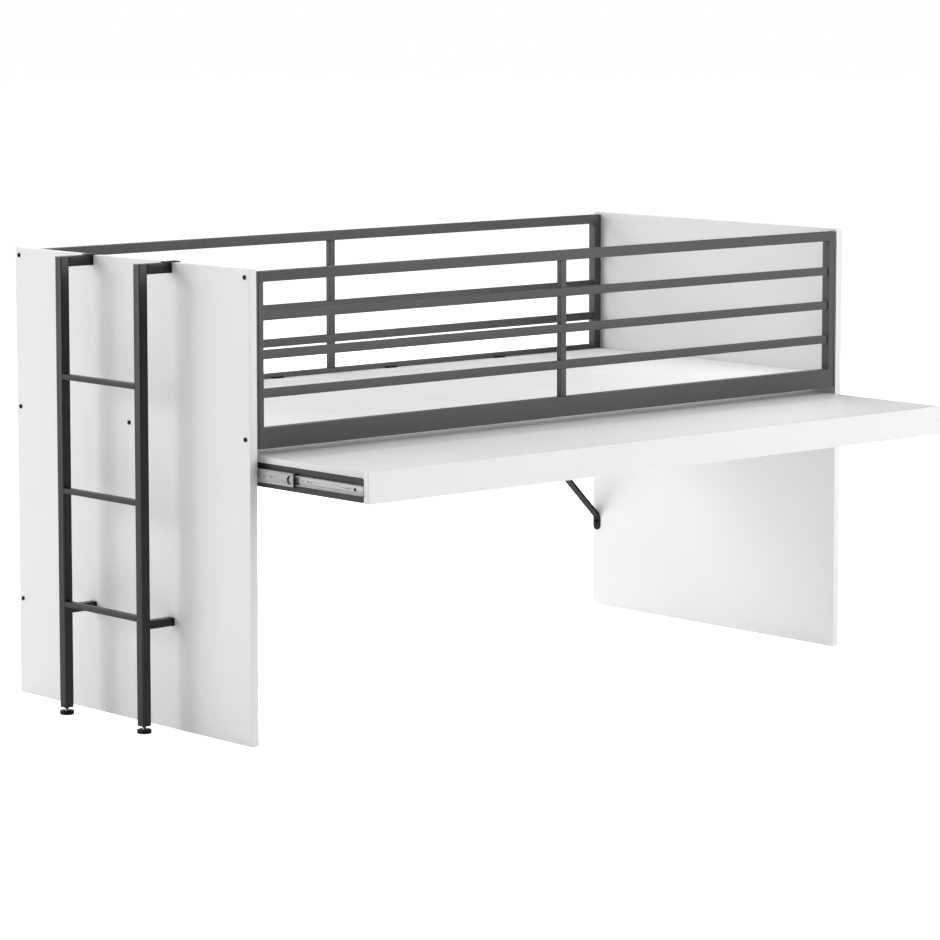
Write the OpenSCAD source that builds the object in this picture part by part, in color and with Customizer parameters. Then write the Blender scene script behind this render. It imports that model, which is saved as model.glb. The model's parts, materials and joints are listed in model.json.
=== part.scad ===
// Cabin bed: two end panels, two steel guard frames, a boarded platform,
// a ladder that hooks over one end, and a desk that pulls out on ball-bearing slides.
// Millimetres. X runs along the bed, Y from the front to the back, Z up.
// Measures below are taken from the front, bottom, outer corner of the left panel.

/* [End panels] */
// Height of the end panels
panel_h = 1145; // [1100:5:1400]
// Depth of the end panels, front to back
panel_d = 950; // [900:10:1300]
// Thickness of the end panels
panel_t = 22; // [18:1:30]
// Clear length between the end panels
clear_l = 2010; // [1850:10:2100]

/* [Guard frames] */
// Height of the underside of the side rails above the floor
rail_z = 715; // [600:5:760]
// Height of the side rails
rail_h = 50; // [40:1:60]
// Depth of the frame tubes, front to back
tube_d = 25; // [22:1:30]
// Height of the top rail
top_rail_h = 25; // [20:1:35]
// Distance of the guard's top below the panel's top
guard_drop = 6; // [2:1:60]
// Distance of the guards behind the panel's front and back edges
guard_inset = 3.5; // [0:0.5:15]
// Height of each guard bar
bar_h = 21.5; // [15:0.5:28]
// Depth of each guard bar
bar_d = 15; // [12:0.5:20]
// Number of guard bars
bar_count = 3; // [2:1:4]
// Width of the frame's end posts
end_post_w = 15; // [11:1:25]
// Width of the bars that stand between the frame and the panel
end_bar_w = 10; // [8:1:20]
// Distance of those bars behind the frame's faces
end_bar_set = 1; // [0:0.5:3]
// Width of the middle post
mid_post_w = 20; // [15:1:30]
// Depth of the middle post
mid_post_d = 15; // [8:0.5:20]
// Wall of all the steel tubes
tube_wall = 1.5; // [1.2:0.1:2]
// Radius of the tubes' long edges
tube_r = 1.5; // [1:0.1:2]

/* [Platform] */
// Number of platform boards
board_count = 5; // [4:1:8]
// Thickness of the platform boards
board_t = 19; // [16:1:22]
// Distance of the boards' top below the side rails' top
board_drop = 12; // [8:1:14]
// Seam between two boards
seam = 2; // [1.6:0.1:4]
// Room between the boards and the frame round them
board_gap = 1; // [0.5:0.1:3]
// Width of the ledges that carry the boards
ledge_w = 20; // [15:1:30]
// Height of the ledges' upright leg
ledge_h = 16; // [8:1:18]
// Thickness of the ledges
ledge_t = 2; // [1.5:0.1:3]
// Length of the board clips along the bed
clip_l = 35; // [20:1:60]
// Width of the board clips
clip_w = 12; // [8:1:20]
// Thickness of the clips above the boards
clip_t = 4; // [2:0.5:6]
// Width of the centre beam
beam_w = 40; // [30:1:60]
// Height of the centre beam
beam_h = 20; // [15:1:30]
// Thickness of the centre beam's end plates
plate_t = 3; // [2:0.5:5]

/* [Braces] */
// Width of the pressed corner braces
brace_w = 28; // [22:1:30]
// Thickness of the braces' steel
brace_t = 3; // [2:0.5:4]
// Depth of the braces between their bends, over the folded edges
brace_fold = 7; // [5:0.5:12]
// Height of the lower brace bolt above the floor
brace_z = 245; // [180:5:400]
// Distance from the brace's lower bolt to its lower bend
brace_low_tab = 14; // [13:1:40]
// Distance from the brace's upper screw to its upper bend
brace_high_tab = 20; // [13:1:40]
// Distance from each brace fastener to the middle of the bar's round end
brace_end = 11; // [0:1:20]

/* [Ladder] */
// Width over the ladder's stiles
ladder_w = 344; // [300:1:420]
// Distance of the ladder's middle behind the panel's front edge
ladder_y = 470; // [400:0.5:550]
// Clear distance between the stiles and the panel
ladder_gap = 74; // [60:1:120]
// Width of the stiles, away from the panel
stile_w = 25; // [20:1:30]
// Thickness of the stiles, along the rungs
stile_d = 25; // [18:1:30]
// Radius of the ladder tubes' long edges
ladder_r = 2.5; // [1:0.1:2.5]
// Number of rungs
rung_count = 3; // [2:1:3]
// Height of the lowest rung's underside above the floor
rung_z = 274; // [240:1:300]
// Distance from one rung to the next
rung_pitch = 284; // [250:0.5:300]
// Depth of the rungs
rung_d = 20; // [15:1:25]
// Height of the rungs
rung_h = 13; // [10:1:20]
// Height of the top arms
arm_h = 25; // [20:1:35]
// Height of the lower stand-offs
standoff_h = 20; // [15:1:30]
// Height of the stand-offs' underside above the floor
standoff_z = 256; // [200:0.5:300]
// Thickness of the end caps against the panel
cap_t = 10; // [5:1:15]
// Thickness of the hook straps
strap_t = 3; // [2:0.5:5]
// Length of the hook straps down the panel's inner face
strap_drop = 40; // [15:1:50]
// Length of the straps on the arms
strap_hold = 15; // [12:1:50]
// Diameter of the ladder's feet
foot_dia = 36; // [28:1:42]
// Height of the foot discs
foot_h = 10; // [8:1:20]
// Height of the stiles' lower end above the floor
foot_gap = 18; // [16:1:35]
// Diameter of the feet's threaded stems
stem_dia = 10; // [6:1:12]

/* [Desk] */
// Depth of the desk, front to back
desk_d = 500; // [450:10:550]
// Distance that the desk is pulled out, measured from its closed place
desk_out = 394; // [200:1:420]
// Height of the desk, from its apron's lower edge to its top face
desk_h = 75; // [65:1:100]
// Gap between the desktop and the lowest piece above it
desk_gap = 14; // [8:1:40]
// Thickness of the desktop board
desktop_t = 15; // [12:1:22]
// Thickness of the apron
apron_t = 18; // [15:1:25]
// Distance of the desk's side rails above the apron's lower edge
side_lift = 2; // [0:1:10]
// Thickness of the side rails' steel
side_t = 2; // [1.5:0.5:3]
// Width of the side rails' flanges
side_flange = 20; // [15:1:40]
// Corner radius at the side rails' front end
side_r = 8; // [4:1:12]
// Depth of the desk's rear beam
rear_beam_d = 20; // [15:1:40]

/* [Slides] */
// Room for a slide between a panel and the desk
slide_t = 13; // [13:0.5:16]
// Length of the slides
slide_l = 450; // [440:1:460]
// Length of the middle members
middle_l = 390; // [380:1:400]
// Height of the outer members
slide_h = 45; // [42:0.5:48]
// Height of the middle members
middle_h = 32; // [30:0.5:34]
// Height of the inner members
inner_h = 23.4; // [20:0.1:25]
// Sheet thickness of the members
slide_wall = 1.2; // [1:0.1:1.5]
// Sheet thickness of the ball cages
cage_wall = 0.6; // [0.4:0.1:0.8]
// Length of the ball cages between the outer and middle members
outer_cage_l = 180; // [120:5:190]
// Length of the ball cages between the middle and inner members
inner_cage_l = 150; // [100:5:160]
// Number of balls in each row
ball_count = 8; // [4:1:12]
// Length of the middle members' front bumpers
bumper_l = 5; // [5:1:15]

/* [Fasteners] */
// Diameter of the panel bolts
bolt_dia = 6; // [5:0.5:8]
// Diameter of the bolts' heads
bolt_head_dia = 11; // [11:0.5:14]
// Height of the bolts' heads
bolt_head_h = 3; // [2:0.5:5]
// Length of bolt in each threaded end plug
thread_l = 14; // [10:1:20]
// Length of the end plugs
plug_l = 25; // [25:1:40]
// Width of the nuts over their corners
nut_dia = 11.5; // [11:0.5:15]
// Height of the nuts
nut_h = 5; // [4:0.5:8]
// Diameter of the slide and desk screws
screw_dia = 4; // [3:0.5:4.5]
// Diameter of the heads of those screws
screw_head_dia = 8; // [7:0.5:9]

/* [Clearances] */
// Radial room of a bolt in its hole
hole_gap = 0.25; // [0.1:0.05:0.5]
// Radial room of a thread or a plug in its seat
seat_gap = 0.05; // [0.02:0.01:0.1]
// Room beside each moving sheet in the slides
run_gap = 0.3; // [0.25:0.05:0.4]
// Room between the balls and their tracks
ball_gap = 0.25; // [0.1:0.05:0.3]
// Room between the hook straps and the panel's inner face
hook_gap = 1.5; // [0.5:0.5:3]

/* [Hidden] */
$fn = 48;
WHITE = [0.93, 0.93, 0.92];
GRAPHITE = [0.33, 0.33, 0.32];
BLACK = [0.12, 0.12, 0.12];
ZINC = [0.76, 0.77, 0.78];
over = 1;                     // how far a cutting shape runs past a face
hex_socket_dia = 5;
hex_socket_depth = 2;

length = clear_l + 2 * panel_t;
inner_end = length - panel_t; // inner face of the right panel

// guard frames, as seen at the front
frame_x0 = panel_t + end_bar_w;
frame_x1 = length - frame_x0;
frame_back = guard_inset + tube_d;
tube_mid_y = guard_inset + tube_d / 2;
rail_top = rail_z + rail_h;
rail_mid_z = rail_z + rail_h / 2;
guard_top = panel_h - guard_drop;
top_rail_z = guard_top - top_rail_h;
top_rail_mid_z = top_rail_z + top_rail_h / 2;
bar_step = (top_rail_z - rail_top - bar_count * bar_h) / (bar_count + 1) + bar_h;
bar_gap = bar_step - bar_h;
posts_x = [frame_x0, frame_x1 - end_post_w];

// platform
board_top = rail_top - board_drop;
board_z = board_top - board_t;
board_l = panel_d - 2 * frame_back - 2 * board_gap;
board_w = (clear_l - 2 * board_gap - (board_count - 1) * seam) / board_count;
board_step = board_w + seam;
beam_z = board_z - beam_h;
plate_low = 1;                // end plates reach this far below the beam
nut_room = 0.5;
plate_w = beam_w + 2;
plate_gap = 1;                // room round the end plates
plate_set = 1;                // end plates stop this far below the boards' top
beam_bolt_z = board_z + nut_dia / 2 + nut_room / 2;
pocket_top = beam_bolt_z + nut_dia / 2 + nut_room;
pocket_l = panel_t + plate_t + nut_h + 4;
centre_y = panel_d / 2;
clip_tongue = seam - 0.4;

// desk
under_z = min(rail_z, beam_z - plate_low);
desk_top = under_z - desk_gap;
desk_z = desk_top - desk_h;
desk_x0 = panel_t + slide_t;
desk_x1 = length - desk_x0;
desk_l = desk_x1 - desk_x0;
apron_back = apron_t - desk_out;
side_z0 = desk_z + side_lift;
side_z1 = desk_top - desktop_t;
side_h = side_z1 - side_z0;
side_back = desk_d - desk_out - 2;
slide_z = (side_z0 + side_z1) / 2;

// slides, as seen at the left panel
slide_set = 2;                // outer member behind the closed apron
slide_y0 = apron_t + slide_set;
middle_set = 41;              // closed middle member behind the outer member's front
middle_y0 = slide_y0 + middle_set - desk_out / 2;
middle_metal_y0 = middle_y0 + bumper_l;
cage_pitch = cage_wall + 2 * run_gap;
middle_x = panel_t + slide_wall + cage_pitch;
inner_tip_x = middle_x + slide_wall + cage_pitch;
member_x1 = desk_x0 - 2;
outer_ball_z = (slide_h / 2 - slide_wall + middle_h / 2) / 2;
inner_ball_z = (middle_h / 2 - slide_wall + inner_h / 2) / 2;
outer_ball_dia = slide_h / 2 - slide_wall - middle_h / 2 - 2 * ball_gap;
inner_ball_dia = middle_h / 2 - slide_wall - inner_h / 2 - 2 * ball_gap;
outer_cage_mid = (slide_y0 + middle_y0 + bumper_l + middle_l) / 2;
inner_cage_mid = (middle_metal_y0 + apron_back + slide_l) / 2;
slide_screws = [30, 265, 340, 420]; // along a member, from its front end
screw_in_panel = 12;

// ladder
arm_z = panel_h - arm_h;
stile_x0 = -ladder_gap - stile_w;
stiles_y = [ladder_y - ladder_w / 2, ladder_y + ladder_w / 2 - stile_d];
insert_l = 25;
stem_short = 3;               // the stems end this far below the inserts' top
foot_floor = 4;               // material of a foot under its stem

// braces, as seen at the left panel
brace_foot_z = brace_z + brace_low_tab;
brace_rise = rail_z - brace_foot_z - brace_t;

// the model stands centred on its own bounds
low_x = min(stile_x0, stile_x0 + stile_w / 2 - foot_dia / 2);
shift = [-(length + bolt_head_h + low_x) / 2, -(panel_d - desk_out) / 2, 0];

// ---- placing ----

module place() {
    translate(shift) children();
}

// turns a piece of the left end into the same piece of the right end
module right_end() {
    translate([length, 0, 0]) mirror([1, 0, 0]) children();
}

// turns a piece of the front into the same piece of the back
module at_back() {
    translate([0, panel_d, 0]) mirror([0, 1, 0]) children();
}

module both_ends() {
    children();
    right_end() children();
}

module both_sides() {
    children();
    at_back() children();
}

// ---- shapes that repeat ----

// rectangle with rounded corners
module round_rect(w, h, r) {
    translate([r, 0]) square([w - 2 * r, h]);
    translate([0, r]) square([w, h - 2 * r]);
    for (x = [r, w - r], y = [r, h - r]) translate([x, y]) circle(r);
}

module tube_section(w, h, r = tube_r) {
    difference() {
        round_rect(w, h, r);
        translate([tube_wall, tube_wall]) square([w - 2 * tube_wall, h - 2 * tube_wall]);
    }
}

// tube along X from a corner, d deep and h high
module tube_x(p, l, d, h, r = tube_r) {
    translate(p) rotate([90, 0, 90]) linear_extrude(l) tube_section(d, h, r);
}

// tube along Y from a corner, w wide and h high
module tube_y(p, l, w, h, r = tube_r) {
    translate([p[0], p[1] + l, p[2]]) rotate([90, 0, 0]) linear_extrude(l) tube_section(w, h, r);
}

// tube along Z from a corner, w wide and d deep
module tube_z(p, l, w, d) {
    translate(p) linear_extrude(l) tube_section(w, d);
}

// cylinder along +X from a point
module rod_x(p, l, dia) {
    translate(p) rotate([0, 90, 0]) cylinder(h = l, d = dia);
}

// channel along Y, web at low X, opening towards +X
module channel_y(x, y, zmid, l, h, d, t) {
    translate([x, y + l, zmid - h / 2]) rotate([90, 0, 0]) linear_extrude(l) difference() {
        square([d, h]);
        translate([t, t]) square([d, h - 2 * t]);
    }
}

// bolt along +X whose head sits outside x = 0
module panel_bolt(y, z, l) {
    difference() {
        union() {
            rod_x([0, y, z], l, bolt_dia);
            rod_x([-bolt_head_h + 1, y, z], bolt_head_h - 1, bolt_head_dia);
            translate([-bolt_head_h, y, z]) rotate([0, 90, 0])
                cylinder(h = 1, d1 = bolt_head_dia - 2, d2 = bolt_head_dia);
        }
        translate([-bolt_head_h - over, y, z]) rotate([0, 90, 0])
            cylinder(h = hex_socket_depth + over, d = hex_socket_dia, $fn = 6);
    }
}

// pan-head screw along +Z, the head below z = 0
module pan_screw_z(l) {
    cylinder(h = l, d = screw_dia);
    translate([0, 0, -2]) cylinder(h = 2, d = screw_head_dia);
}

// ---- end panels ----

// heights and depths of the bolts in one end panel
rail_bolts = [for (y = [tube_mid_y, panel_d - tube_mid_y], z = [rail_mid_z, top_rail_mid_z]) [y, z]];
beam_bolt = [centre_y, beam_bolt_z];
brace_bolt = [panel_d - tube_mid_y, brace_z];

module end_panel() {
    difference() {
        cube([panel_t, panel_d, panel_h]);
        for (b = concat(rail_bolts, [beam_bolt, brace_bolt]))
            rod_x([-over, b[0], b[1]], panel_t + 2 * over, bolt_dia + 2 * hole_gap);
        for (y = slide_screws)
            rod_x([panel_t - screw_in_panel, slide_y0 + y, slide_z], screw_in_panel + over,
                  screw_dia + 2 * seat_gap);
    }
}

module left_panel() { color(WHITE) place() end_panel(); }
module right_panel() { color(WHITE) place() right_end() end_panel(); }

// ---- guard frames ----

module guard_top_rail() {
    tube_x([frame_x0, guard_inset, top_rail_z], frame_x1 - frame_x0, tube_d, top_rail_h);
}

module guard_bars() {
    for (i = [1 : bar_count])
        tube_x([frame_x0 + end_post_w, tube_mid_y - bar_d / 2, rail_top + i * bar_step - bar_h],
               frame_x1 - frame_x0 - 2 * end_post_w, bar_d, bar_h);
}

module guard_mid_post() {
    for (i = [0 : bar_count])
        tube_z([length / 2 - mid_post_w / 2, tube_mid_y - mid_post_d / 2, rail_top + i * bar_step],
               bar_gap, mid_post_w, mid_post_d);
}

module guard_end_posts() {
    for (x = posts_x) tube_z([x, guard_inset, rail_top], top_rail_z - rail_top, end_post_w, tube_d);
}

module side_rail() {
    tube_x([frame_x0, guard_inset, rail_z], frame_x1 - frame_x0, tube_d, rail_h);
}

// angle whose flat leg carries the boards
module board_ledge() {
    translate([frame_x0, frame_back, board_z - ledge_t]) cube([frame_x1 - frame_x0, ledge_w, ledge_t]);
    translate([frame_x0, frame_back, board_z - ledge_h]) cube([frame_x1 - frame_x0, ledge_t, ledge_h]);
}

module front_guard_top_rail() { color(GRAPHITE) place() guard_top_rail(); }
module front_guard_bars() { color(GRAPHITE) place() guard_bars(); }
module front_guard_end_posts() { color(GRAPHITE) place() guard_end_posts(); }
module front_side_rail() { color(GRAPHITE) place() side_rail(); }
module rear_guard_top_rail() { color(GRAPHITE) place() at_back() guard_top_rail(); }
module rear_guard_bars() { color(GRAPHITE) place() at_back() guard_bars(); }
module guard_mid_posts() { color(GRAPHITE) place() both_sides() guard_mid_post(); }
module rear_guard_end_posts() { color(GRAPHITE) place() at_back() guard_end_posts(); }
module board_ledges() { color(GRAPHITE) place() both_sides() board_ledge(); }

// the rear side rail also takes the brace screws, from below
module rear_side_rail() {
    color(GRAPHITE) place() difference() {
        at_back() side_rail();
        both_ends() translate([brace_top_x, panel_d - tube_mid_y, rail_z - over])
            cylinder(h = tube_wall + 2 * over, d = screw_dia + 2 * hole_gap);
    }
}

// upright bar between a frame's end and the panel, drilled for the two rail bolts
module guard_end_bar() {
    difference() {
        tube_z([panel_t, guard_inset + end_bar_set, rail_z], guard_top - rail_z,
               end_bar_w, tube_d - 2 * end_bar_set);
        for (z = [rail_mid_z, top_rail_mid_z])
            rod_x([panel_t - over, tube_mid_y, z], end_bar_w + 2 * over, bolt_dia + 2 * hole_gap);
    }
}

module guard_end_bars() {
    color(GRAPHITE) place() both_ends() both_sides() guard_end_bar();
}

// threaded block in the end of a rail of height h
module end_plug(z, h) {
    d = tube_d - 2 * tube_wall - 2 * seat_gap;
    b = h - 2 * tube_wall - 2 * seat_gap;
    difference() {
        translate([frame_x0, tube_mid_y - d / 2, z + h / 2 - b / 2]) cube([plug_l, d, b]);
        rod_x([frame_x0 - over, tube_mid_y, z + h / 2], thread_l + 2 + over, bolt_dia + 2 * seat_gap);
    }
}

module rail_end_plugs() {
    color(BLACK) place() both_ends() both_sides() {
        end_plug(rail_z, rail_h);
        end_plug(top_rail_z, top_rail_h);
    }
}

// ---- platform ----

module end_plate() {
    z0 = beam_z - plate_low;
    difference() {
        translate([panel_t, centre_y - plate_w / 2, z0]) cube([plate_t, plate_w, board_top - plate_set - z0]);
        rod_x([panel_t - over, centre_y, beam_bolt_z], plate_t + 2 * over, bolt_dia + 2 * hole_gap);
    }
}

module centre_beam() {
    color(GRAPHITE) place() {
        tube_x([panel_t + plate_t, centre_y - beam_w / 2, beam_z], clear_l - 2 * plate_t, beam_w, beam_h);
        both_ends() end_plate();
    }
}

// board i counts from the left; the two end boards are notched for the beam's end plates
// and hollowed below for its nuts
module platform_board(i) {
    color(WHITE) place() difference() {
        translate([panel_t + board_gap + (i - 1) * board_step, frame_back + board_gap, board_z])
            cube([board_w, board_l, board_t]);
        both_ends() translate([-over, centre_y - plate_w / 2 - plate_gap, board_z - over])
            cube([pocket_l + over, plate_w + 2 * plate_gap, pocket_top - board_z + over]);
        both_ends() translate([panel_t - over, centre_y - plate_w / 2 - plate_gap, board_z - over])
            cube([plate_t + plate_gap + over, plate_w + 2 * plate_gap, board_t + 2 * over]);
    }
}

// clip over the seam of two boards, its tongue down in the seam
module board_clip(x) {
    y0 = frame_back + board_gap;
    translate([x - clip_l / 2, frame_back, board_top]) rotate([90, 0, 90]) linear_extrude(clip_l)
        polygon([[0, 0], [clip_w, 0], [clip_w, 1], [clip_w - 4, clip_t], [0, clip_t]]);
    translate([x - clip_tongue / 2, y0, board_z]) cube([clip_tongue, clip_w - 2 * board_gap, board_t]);
}

module board_clips() {
    color(BLACK) place() both_sides() for (i = [1 : board_count - 1])
        board_clip(panel_t + board_gap + i * board_step - seam / 2);
}

// ---- braces ----

brace_top_x = panel_t + brace_t + brace_rise + brace_high_tab;

// flat strip up from the left panel to the rear side rail, seen along Y
module brace_profile() {
    k = brace_t * tan(22.5);
    x0 = panel_t;
    x1 = x0 + brace_t;
    z_end = brace_z - brace_end;
    x_end = brace_top_x + brace_end;
    polygon([
        [x0, z_end], [x1, z_end],
        [x1, brace_foot_z - k],
        [x1 + brace_rise + k, rail_z - brace_t],
        [x_end, rail_z - brace_t], [x_end, rail_z],
        [x0 + brace_t + brace_rise, rail_z],
        [x0, brace_foot_z]
    ]);
}

// folded edge of the strip between its bends, on the side towards the corner
module brace_fold_profile() {
    rise = brace_t + brace_rise;
    set = brace_fold - brace_t;
    out = set / sqrt(2);
    x = panel_t;
    z = brace_foot_z;
    translate([x, z]) polygon([
        [brace_t, brace_t], [set + 3 - out, set + 3 + out],
        [rise - set - 3 - out, rise - set - 3 + out], [rise - brace_t, rise - brace_t],
        [rise - brace_t + 1, rise - brace_t - 1], [brace_t + 1, brace_t - 1]
    ]);
}

module brace() {
    y = panel_d - tube_mid_y;
    difference() {
        union() {
            for (e = [y - brace_w / 2 + brace_t, y + brace_w / 2])
                translate([0, e, 0]) rotate([90, 0, 0]) linear_extrude(brace_t) brace_fold_profile();
            translate([0, y + brace_w / 2, 0]) rotate([90, 0, 0]) linear_extrude(brace_w) brace_profile();
            rod_x([panel_t, y, brace_z - brace_end], brace_t, brace_w);
            translate([brace_top_x + brace_end, y, rail_z - brace_t]) cylinder(h = brace_t, d = brace_w);
        }
        rod_x([panel_t - over, y, brace_z], brace_t + 2 * over, bolt_dia + 2 * hole_gap);
        translate([brace_top_x, y, rail_z - brace_t - over])
            cylinder(h = brace_t + 2 * over, d = screw_dia + 2 * hole_gap);
    }
}

module left_brace() { color(BLACK) place() brace(); }
module right_brace() { color(BLACK) place() right_end() brace(); }

module brace_rail_screws() {
    color(BLACK) place() both_ends()
        translate([brace_top_x, panel_d - tube_mid_y, rail_z - brace_t]) pan_screw_z(brace_t + tube_wall + 6);
}

// ---- bolts and nuts ----

module end_bolts() {
    for (b = rail_bolts) panel_bolt(b[0], b[1], frame_x0 + thread_l);
    panel_bolt(beam_bolt[0], beam_bolt[1], panel_t + plate_t + nut_h + 1);
    panel_bolt(brace_bolt[0], brace_bolt[1], panel_t + brace_t + nut_h + 1);
}

module left_panel_bolts() { color(BLACK) place() end_bolts(); }
module right_panel_bolts() { color(BLACK) place() right_end() end_bolts(); }

module hex_nut(p) {
    difference() {
        translate(p) rotate([0, 90, 0]) cylinder(h = nut_h, d = nut_dia, $fn = 6);
        rod_x([p[0] - over, p[1], p[2]], nut_h + 2 * over, bolt_dia + 2 * seat_gap);
    }
}

module hex_nuts() {
    color(BLACK) place() both_ends() {
        hex_nut([panel_t + plate_t, beam_bolt[0], beam_bolt[1]]);
        hex_nut([panel_t + brace_t, brace_bolt[0], brace_bolt[1]]);
    }
}

// ---- ladder ----

// tube closed at its top, open at its foot
module stile(y) {
    difference() {
        translate([stile_x0, y, foot_gap]) linear_extrude(panel_h - foot_gap)
            round_rect(stile_w, stile_d, ladder_r);
        translate([stile_x0 + tube_wall, y + tube_wall, foot_gap - over])
            cube([stile_w - 2 * tube_wall, stile_d - 2 * tube_wall, panel_h - foot_gap - tube_wall + over]);
    }
}

module ladder_right_stile() { color(GRAPHITE) place() stile(stiles_y[0]); }
module ladder_left_stile() { color(GRAPHITE) place() stile(stiles_y[1]); }

module ladder_rungs() {
    color(GRAPHITE) place() for (i = [0 : rung_count - 1])
        tube_y([stile_x0, stiles_y[0] + stile_d, rung_z + i * rung_pitch],
               ladder_w - 2 * stile_d, rung_d, rung_h, ladder_r);
}

module ladder_top_arms() {
    color(GRAPHITE) place() for (y = stiles_y)
        tube_x([-ladder_gap, y, arm_z], ladder_gap - cap_t, stile_d, arm_h, ladder_r);
}

module ladder_stand_offs() {
    color(GRAPHITE) place() for (y = stiles_y)
        tube_x([-ladder_gap, y, standoff_z], ladder_gap - cap_t, stile_d, standoff_h, ladder_r);
}

// flat hook from the arm over the panel's top edge and down behind it
module hook_strap(y) {
    translate([-strap_hold, y, panel_h]) cube([strap_hold + panel_t + hook_gap + strap_t, stile_d, strap_t]);
    translate([panel_t + hook_gap, y, panel_h - strap_drop]) cube([strap_t, stile_d, strap_drop]);
}

module ladder_hook_straps() { color(BLACK) place() for (y = stiles_y) hook_strap(y); }

// plastic cap with a plug that fills the end of its tube
module end_cap(y, z, h) {
    plug_d = stile_d - 2 * tube_wall - 2 * seat_gap;
    plug_h = h - 2 * tube_wall - 2 * seat_gap;
    translate([-cap_t, y, z]) rotate([90, 0, 90]) linear_extrude(cap_t) round_rect(stile_d, h, ladder_r);
    translate([-cap_t - 15, y + tube_wall + seat_gap, z + tube_wall + seat_gap]) cube([15, plug_d, plug_h]);
}

module ladder_end_caps() {
    color(BLACK) place() for (y = stiles_y) {
        end_cap(y, arm_z, arm_h);
        end_cap(y, standoff_z, standoff_h);
    }
}

function stile_mid(i) = [stile_x0 + stile_w / 2, stiles_y[i] + stile_d / 2];

module foot_insert(i) {
    w = stile_w - 2 * tube_wall - 2 * seat_gap;
    d = stile_d - 2 * tube_wall - 2 * seat_gap;
    c = stile_mid(i);
    difference() {
        translate([c[0] - w / 2, c[1] - d / 2, foot_gap]) cube([w, d, insert_l]);
        translate([c[0], c[1], foot_gap - over])
            cylinder(h = insert_l + 2 * over, d = stem_dia + 2 * seat_gap);
    }
}

module ladder_foot_inserts() { color(BLACK) place() for (i = [0, 1]) foot_insert(i); }

// levelling foot: a disc with a drawn-in lower edge, moulded round the end of its stem
module ladder_foot(i) {
    c = stile_mid(i);
    rim = 2;
    seat = stem_dia / 2 + seat_gap;
    translate([c[0], c[1], 0]) rotate_extrude() polygon([
        [0, 0], [foot_dia / 2 - rim, 0], [foot_dia / 2, rim], [foot_dia / 2, foot_h - 1],
        [foot_dia / 2 - 1, foot_h], [seat, foot_h], [seat, foot_floor], [0, foot_floor]
    ]);
}

// the threaded stem turns in the stile's insert
module foot_stem(i) {
    c = stile_mid(i);
    translate([c[0], c[1], foot_floor])
        cylinder(h = foot_gap + insert_l - stem_short - foot_floor, d = stem_dia);
}

module ladder_right_foot() { color(BLACK) place() ladder_foot(0); }
module ladder_left_foot() { color(BLACK) place() ladder_foot(1); }
module right_foot_stem() { color(ZINC) place() foot_stem(0); }
module left_foot_stem() { color(ZINC) place() foot_stem(1); }

// ---- desk ----

module desktop() {
    color(WHITE) place() translate([desk_x0, apron_back, desk_top - desktop_t])
        cube([desk_l, desk_d - apron_t, desktop_t]);
}

module desk_apron() {
    color(WHITE) place() translate([desk_x0, -desk_out, desk_z]) cube([desk_l, apron_t, desk_h]);
}

side_l = side_back - apron_back;
screw_line = desk_x0 + side_flange / 2 + side_t / 2;
tab_screws_z = [side_z0 + 16, side_z1 - 16];
top_screws_y = [40, 170, 300, 430];

// steel channel under the desktop's left end, opening inwards, with a tab on the apron
module desk_rail() {
    difference() {
        union() {
            channel_y(desk_x0, apron_back + side_r, slide_z, side_l - side_r, side_h, side_flange, side_t);
            translate([desk_x0 + side_t, apron_back, side_z0]) rotate([0, -90, 0]) linear_extrude(side_t)
                round_rect(side_h, 3 * side_r, side_r);
            translate([desk_x0, apron_back, side_z0 + side_r])
                cube([side_flange, side_t, side_h - 2 * side_r]);
        }
        for (y = slide_screws)
            rod_x([desk_x0 - over, apron_back + y, slide_z], side_t + 2 * over, screw_dia + 2 * hole_gap);
        for (y = top_screws_y)
            translate([screw_line, apron_back + y, side_z1 - side_t - over])
                cylinder(h = side_t + 2 * over, d = screw_dia + 2 * hole_gap);
        for (z = tab_screws_z) translate([screw_line, apron_back - over, z])
            rotate([-90, 0, 0]) cylinder(h = side_t + 2 * over, d = screw_dia + 2 * hole_gap);
    }
}

module desk_left_rail() { color(GRAPHITE) place() desk_rail(); }
module desk_right_rail() { color(GRAPHITE) place() right_end() desk_rail(); }

module desk_rear_beam() {
    color(GRAPHITE) place() tube_x([desk_x0 + side_t, side_back - rear_beam_d, side_z0 + side_t],
                                   desk_l - 2 * side_t, rear_beam_d, side_h - 2 * side_t);
}

module desk_screws() {
    color(ZINC) place() both_ends() {
        for (y = top_screws_y) translate([screw_line, apron_back + y, side_z1 - side_t])
            pan_screw_z(side_t);
        for (z = tab_screws_z) translate([screw_line, apron_back + side_t, z])
            rotate([90, 0, 0]) pan_screw_z(side_t);
    }
}

// ---- slides ----

module slide_outer() {
    difference() {
        channel_y(panel_t, slide_y0, slide_z, slide_l, slide_h, member_x1 - panel_t, slide_wall);
        for (y = slide_screws)
            rod_x([panel_t - over, slide_y0 + y, slide_z], slide_wall + 2 * over,
                  screw_head_dia + 2 * seat_gap);
    }
}

module slide_middle() {
    difference() {
        channel_y(middle_x, middle_metal_y0, slide_z, middle_l, middle_h, member_x1 - middle_x, slide_wall);
        for (y = [87, 112])
            rod_x([middle_x - over, middle_y0 + y, slide_z], slide_wall + 2 * over, 6);
        translate([middle_x - over, middle_y0 + 130, slide_z - 3]) cube([slide_wall + 2 * over, 50, 6]);
    }
}

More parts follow.
